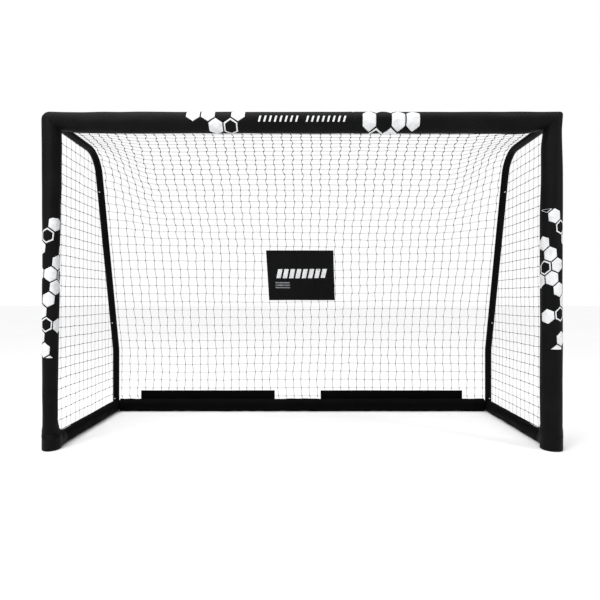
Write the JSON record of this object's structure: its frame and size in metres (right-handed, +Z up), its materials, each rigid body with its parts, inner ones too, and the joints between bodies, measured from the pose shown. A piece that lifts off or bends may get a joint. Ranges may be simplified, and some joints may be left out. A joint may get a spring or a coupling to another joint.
{
  "type": "soccer goal frame",
  "caption": "Home training goal: plug-together steel tubes locked by snap buttons, foam-padded crossbar and posts, sloping rear legs and a knotted net.",
  "frame": {"origin": "on the ground, at the centre of the footprint", "axes": "+X across the goal mouth, +Y from the mouth into the net, +Z up"},
  "size_m": [2.4, 0.878, 1.555],
  "materials": {
    "tube_powder_coat": "semi-gloss black powder coat",
    "button_steel": "bright zinc-plated steel",
    "leaf_steel": "tempered spring steel",
    "pad_cover": "woven coated polyester, matt",
    "pad_foam": "closed-cell foam",
    "rail_sleeve": "woven polyester, matt",
    "net_cord": "braided cord, knotted",
    "patch_fabric": "woven polyester with a sewn hem"
  },
  "bodies": {
    "frame": {"roof_bow_left": "tube_powder_coat", "roof_bow_right": "tube_powder_coat", "crossbar_tube_left": "tube_powder_coat", "crossbar_tube_right": "tube_powder_coat", "post_tube_left": "tube_powder_coat", "post_tube_right": "tube_powder_coat", "back_leg_left": "tube_powder_coat", "back_leg_right": "tube_powder_coat", "lower_leg_left": "tube_powder_coat", "lower_leg_right": "tube_powder_coat", "side_rail_left": "tube_powder_coat", "side_rail_right": "tube_powder_coat", "rear_rail_left": "tube_powder_coat", "rear_rail_right": "tube_powder_coat", "crossbar_foam": "pad_foam", "post_foam_left": "pad_foam", "post_foam_right": "pad_foam", "crossbar_cover": "pad_cover", "post_cover_left": "pad_cover", "post_cover_right": "pad_cover", "side_sleeve_left": "rail_sleeve", "side_sleeve_right": "rail_sleeve", "rear_sleeve": "rail_sleeve", "roof_net": "net_cord", "back_net": "net_cord", "side_net_left": "net_cord", "side_net_right": "net_cord", "target_patch": "patch_fabric", "crossbar_end_left_leaf": "leaf_steel", "post_top_left_leaf": "leaf_steel", "post_foot_left_leaf": "leaf_steel", "upper_leg_left_leaf": "leaf_steel", "lower_leg_left_leaf": "leaf_steel", "leg_foot_left_leaf": "leaf_steel", "rear_rail_end_left_leaf": "leaf_steel", "crossbar_end_right_leaf": "leaf_steel", "post_top_right_leaf": "leaf_steel", "post_foot_right_leaf": "leaf_steel", "upper_leg_right_leaf": "leaf_steel", "lower_leg_right_leaf": "leaf_steel", "leg_foot_right_leaf": "leaf_steel", "rear_rail_end_right_leaf": "leaf_steel", "crossbar_middle_leaf": "leaf_steel", "rear_rail_middle_leaf": "leaf_steel"},
    "crossbar_end_left_button": {"crossbar_end_left_button": "button_steel"},
    "post_top_left_button": {"post_top_left_button": "button_steel"},
    "post_foot_left_button": {"post_foot_left_button": "button_steel"},
    "upper_leg_left_button": {"upper_leg_left_button": "button_steel"},
    "lower_leg_left_button": {"lower_leg_left_button": "button_steel"},
    "leg_foot_left_button": {"leg_foot_left_button": "button_steel"},
    "rear_rail_end_left_button": {"rear_rail_end_left_button": "button_steel"},
    "crossbar_end_right_button": {"crossbar_end_right_button": "button_steel"},
    "post_top_right_button": {"post_top_right_button": "button_steel"},
    "post_foot_right_button": {"post_foot_right_button": "button_steel"},
    "upper_leg_right_button": {"upper_leg_right_button": "button_steel"},
    "lower_leg_right_button": {"lower_leg_right_button": "button_steel"},
    "leg_foot_right_button": {"leg_foot_right_button": "button_steel"},
    "rear_rail_end_right_button": {"rear_rail_end_right_button": "button_steel"},
    "crossbar_middle_button": {"crossbar_middle_button": "button_steel"},
    "rear_rail_middle_button": {"rear_rail_middle_button": "button_steel"}
  },
  "joints": [
    {"name": "press_crossbar_end_left", "type": "slide", "parent": "frame", "child": "crossbar_end_left_button", "axis": [0, 0, 1], "range_m": [0, 0.006], "stiffness_N_per_m": 1200, "springref_m": -0.004, "deforming": ["crossbar_end_left_leaf"]},
    {"name": "press_post_top_left", "type": "slide", "parent": "frame", "child": "post_top_left_button", "axis": [-1, 0, 0], "range_m": [0, 0.006], "stiffness_N_per_m": 1200, "springref_m": -0.004, "deforming": ["post_top_left_leaf"]},
    {"name": "press_post_foot_left", "type": "slide", "parent": "frame", "child": "post_foot_left_button", "axis": [-1, 0, 0], "range_m": [0, 0.006], "stiffness_N_per_m": 1200, "springref_m": -0.004, "deforming": ["post_foot_left_leaf"]},
    {"name": "press_upper_leg_left", "type": "slide", "parent": "frame", "child": "upper_leg_left_button", "axis": [0, 0.969, 0.247], "range_m": [0, 0.006], "stiffness_N_per_m": 1200, "springref_m": -0.004, "deforming": ["upper_leg_left_leaf"]},
    {"name": "press_lower_leg_left", "type": "slide", "parent": "frame", "child": "lower_leg_left_button", "axis": [0, 0.969, 0.247], "range_m": [0, 0.006], "stiffness_N_per_m": 1200, "springref_m": -0.004, "deforming": ["lower_leg_left_leaf"]},
    {"name": "press_leg_foot_left", "type": "slide", "parent": "frame", "child": "leg_foot_left_button", "axis": [0, 1, 0], "range_m": [0, 0.006], "stiffness_N_per_m": 1200, "springref_m": -0.004, "deforming": ["leg_foot_left_leaf"]},
    {"name": "press_rear_rail_end_left", "type": "slide", "parent": "frame", "child": "rear_rail_end_left_button", "axis": [0, 1, 0], "range_m": [0, 0.006], "stiffness_N_per_m": 1200, "springref_m": -0.004, "deforming": ["rear_rail_end_left_leaf"]},
    {"name": "press_crossbar_end_right", "type": "slide", "parent": "frame", "child": "crossbar_end_right_button", "axis": [0, 0, 1], "range_m": [0, 0.006], "stiffness_N_per_m": 1200, "springref_m": -0.004, "deforming": ["crossbar_end_right_leaf"]},
    {"name": "press_post_top_right", "type": "slide", "parent": "frame", "child": "post_top_right_button", "axis": [1, 0, 0], "range_m": [0, 0.006], "stiffness_N_per_m": 1200, "springref_m": -0.004, "deforming": ["post_top_right_leaf"]},
    {"name": "press_post_foot_right", "type": "slide", "parent": "frame", "child": "post_foot_right_button", "axis": [1, 0, 0], "range_m": [0, 0.006], "stiffness_N_per_m": 1200, "springref_m": -0.004, "deforming": ["post_foot_right_leaf"]},
    {"name": "press_upper_leg_right", "type": "slide", "parent": "frame", "child": "upper_leg_right_button", "axis": [0, 0.969, 0.247], "range_m": [0, 0.006], "stiffness_N_per_m": 1200, "springref_m": -0.004, "deforming": ["upper_leg_right_leaf"]},
    {"name": "press_lower_leg_right", "type": "slide", "parent": "frame", "child": "lower_leg_right_button", "axis": [0, 0.969, 0.247], "range_m": [0, 0.006], "stiffness_N_per_m": 1200, "springref_m": -0.004, "deforming": ["lower_leg_right_leaf"]},
    {"name": "press_leg_foot_right", "type": "slide", "parent": "frame", "child": "leg_foot_right_button", "axis": [0, 1, 0], "range_m": [0, 0.006], "stiffness_N_per_m": 1200, "springref_m": -0.004, "deforming": ["leg_foot_right_leaf"]},
    {"name": "press_rear_rail_end_right", "type": "slide", "parent": "frame", "child": "rear_rail_end_right_button", "axis": [0, 1, 0], "range_m": [0, 0.006], "stiffness_N_per_m": 1200, "springref_m": -0.004, "deforming": ["rear_rail_end_right_leaf"]},
    {"name": "press_crossbar_middle", "type": "slide", "parent": "frame", "child": "crossbar_middle_button", "axis": [0, 0, 1], "range_m": [0, 0.006], "stiffness_N_per_m": 1200, "springref_m": -0.004, "deforming": ["crossbar_middle_leaf"]},
    {"name": "press_rear_rail_middle", "type": "slide", "parent": "frame", "child": "rear_rail_middle_button", "axis": [0, 1, 0], "range_m": [0, 0.006], "stiffness_N_per_m": 1200, "springref_m": -0.004, "deforming": ["rear_rail_middle_leaf"]}
  ]
}
